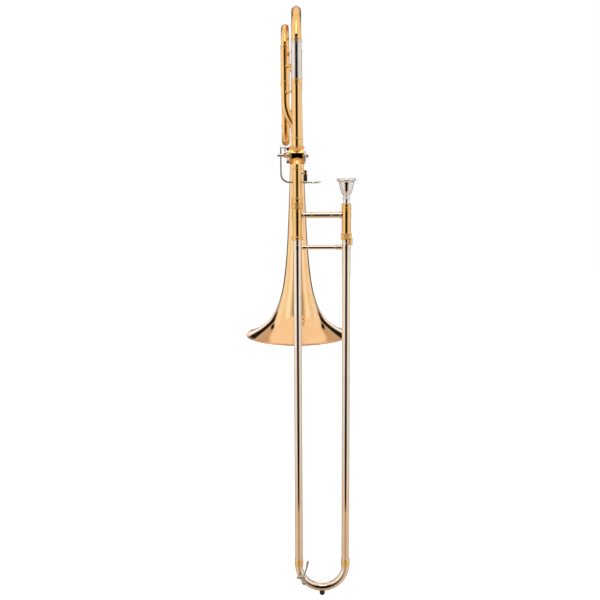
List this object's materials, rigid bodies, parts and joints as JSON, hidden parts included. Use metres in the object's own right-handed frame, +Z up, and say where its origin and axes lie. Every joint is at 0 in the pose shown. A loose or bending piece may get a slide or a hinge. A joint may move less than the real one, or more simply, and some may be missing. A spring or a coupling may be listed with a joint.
{
  "type": "trombone",
  "caption": "Tenor trombone with an F attachment: flared bell, hand slide, tuning slides, rotary valve with thumb trigger, and mouthpiece.",
  "frame": {"origin": "centre of the bell mouth, in the plane of its rim", "axes": "+Z up along the bell axis towards the tuning bow, +X from the neckpipe towards the mouthpiece, +Y from the hand slide towards the bell"},
  "size_m": [0.2247, 0.2862, 1.1807],
  "materials": {
    "gold_brass": "polished and lacquered gold brass",
    "yellow_brass": "polished and lacquered yellow brass",
    "rose_brass": "polished and lacquered rose brass wire",
    "nickel_silver": "polished nickel silver",
    "silver_plate": "bright silver plate",
    "black_rubber": "matt black rubber",
    "cork_felt": "cork with a felt face",
    "valve_bronze": "fine turned bronze"
  },
  "bodies": {
    "bell_section": {"bell": "gold_brass", "bell_rim_wire": "rose_brass", "tuning_sleeve_front": "nickel_silver", "tuning_sleeve_rear": "nickel_silver", "sleeve_ferrules": "yellow_brass", "upper_neckpipe": "gold_brass", "lower_neckpipe": "gold_brass", "neck_rings": "yellow_brass", "neck_receiver": "yellow_brass", "valve_casing": "yellow_brass", "valve_end_plate": "yellow_brass", "valve_back_plate": "yellow_brass", "valve_back_cap": "silver_plate", "stop_bumpers": "black_rubber", "f_valve_crook": "gold_brass", "f_inner_loop": "gold_brass", "f_lower_bow": "gold_brass", "f_rear_tube": "gold_brass", "f_gooseneck": "gold_brass", "f_sleeves": "gold_brass", "f_ferrules": "yellow_brass", "f_braces": "yellow_brass", "bell_brace_lower": "yellow_brass", "bell_brace_upper": "yellow_brass", "trigger_stop_arm": "yellow_brass", "trigger_stop_pad": "black_rubber", "lever_screw": "nickel_silver", "lever_spring": "nickel_silver"},
    "main_tuning_slide": {"tuning_bow": "gold_brass", "tuning_legs": "nickel_silver", "tuning_bow_ferrules": "yellow_brass", "tuning_brace": "yellow_brass"},
    "f_tuning_slide": {"f_bow": "gold_brass", "f_slide_legs": "nickel_silver", "f_bow_ferrules": "yellow_brass", "f_slide_brace": "yellow_brass"},
    "rotor": {"rotor": "valve_bronze", "stop_arm": "nickel_silver"},
    "trigger": {"trigger_lever": "nickel_silver", "thumb_paddle": "silver_plate"},
    "link": {"link_rod": "nickel_silver"},
    "lock_nut": {"bell_lock_nut": "yellow_brass"},
    "inner_slide": {"slide_tenon": "yellow_brass", "cork_barrel_left": "yellow_brass", "cork_barrel_right": "yellow_brass", "inner_tube_left": "nickel_silver", "inner_tube_right": "nickel_silver", "leadpipe": "yellow_brass", "mouthpiece_receiver": "yellow_brass", "hand_brace": "nickel_silver", "barrel_corks": "cork_felt"},
    "slide_lock": {"slide_lock_ring": "yellow_brass"},
    "mouthpiece": {"mouthpiece": "silver_plate"},
    "outer_slide": {"outer_tube_left": "nickel_silver", "outer_tube_right": "nickel_silver", "outer_brace": "nickel_silver", "slide_crook": "nickel_silver", "crook_bumper": "black_rubber", "water_key_saddle": "yellow_brass"},
    "water_key": {"water_key_lever": "nickel_silver"}
  },
  "joints": [
    {"name": "slide_swivel", "type": "hinge", "parent": "bell_section", "child": "inner_slide", "pos_m": [0, -0.156, 0.288], "axis": [0, 0, 1], "range_deg": [-20, 30]},
    {"name": "hand_slide", "type": "slide", "parent": "inner_slide", "child": "outer_slide", "axis": [0, 0, -1], "range_m": [0, 0.6]},
    {"name": "slide_lock_turn", "type": "hinge", "parent": "inner_slide", "child": "slide_lock", "pos_m": [0.0945, -0.156, 0.224], "axis": [0, 0, -1], "range_deg": [0, 36]},
    {"name": "mouthpiece_pull", "type": "slide", "parent": "inner_slide", "child": "mouthpiece", "axis": [0, 0, 1], "range_m": [0, 0.05]},
    {"name": "lock_nut_turn", "type": "hinge", "parent": "inner_slide", "child": "lock_nut", "pos_m": [0, -0.156, 0.284], "axis": [0, 0, 1], "continuous": true},
    {"name": "water_key_press", "type": "hinge", "parent": "outer_slide", "child": "water_key", "pos_m": [0.004, -0.1695, -0.4695], "axis": [-1, 0, 0], "range_deg": [0, 20], "stiffness_Nm_per_rad": 0.1, "springref_deg": -17.19},
    {"name": "main_tuning", "type": "slide", "parent": "bell_section", "child": "main_tuning_slide", "axis": [0, 0, 1], "range_m": [0, 0.06]},
    {"name": "f_tuning", "type": "slide", "parent": "bell_section", "child": "f_tuning_slide", "axis": [0, 0, 1], "range_m": [0, 0.06]},
    {"name": "trigger_press", "type": "hinge", "parent": "bell_section", "child": "trigger", "pos_m": [-0.031, -0.112, 0.3805], "axis": [-1, 0, 0], "range_deg": [0, 30], "stiffness_Nm_per_rad": 0.2, "springref_deg": -20.05},
    {"name": "rotor_turn", "type": "hinge", "parent": "bell_section", "child": "rotor", "pos_m": [0, -0.1387, 0.38], "axis": [-1, 0, 0], "range_deg": [0, 90]},
    {"name": "link_pivot", "type": "hinge", "parent": "trigger", "child": "link", "pos_m": [-0.0232, -0.11588, 0.39499], "axis": [1, 0, 0], "range_deg": [0, 30]}
  ],
  "couplings": [
    {"joint": "rotor_turn", "follows": "trigger_press", "ratio": 3},
    {"joint": "link_pivot", "follows": "trigger_press", "ratio": 1}
  ]
}
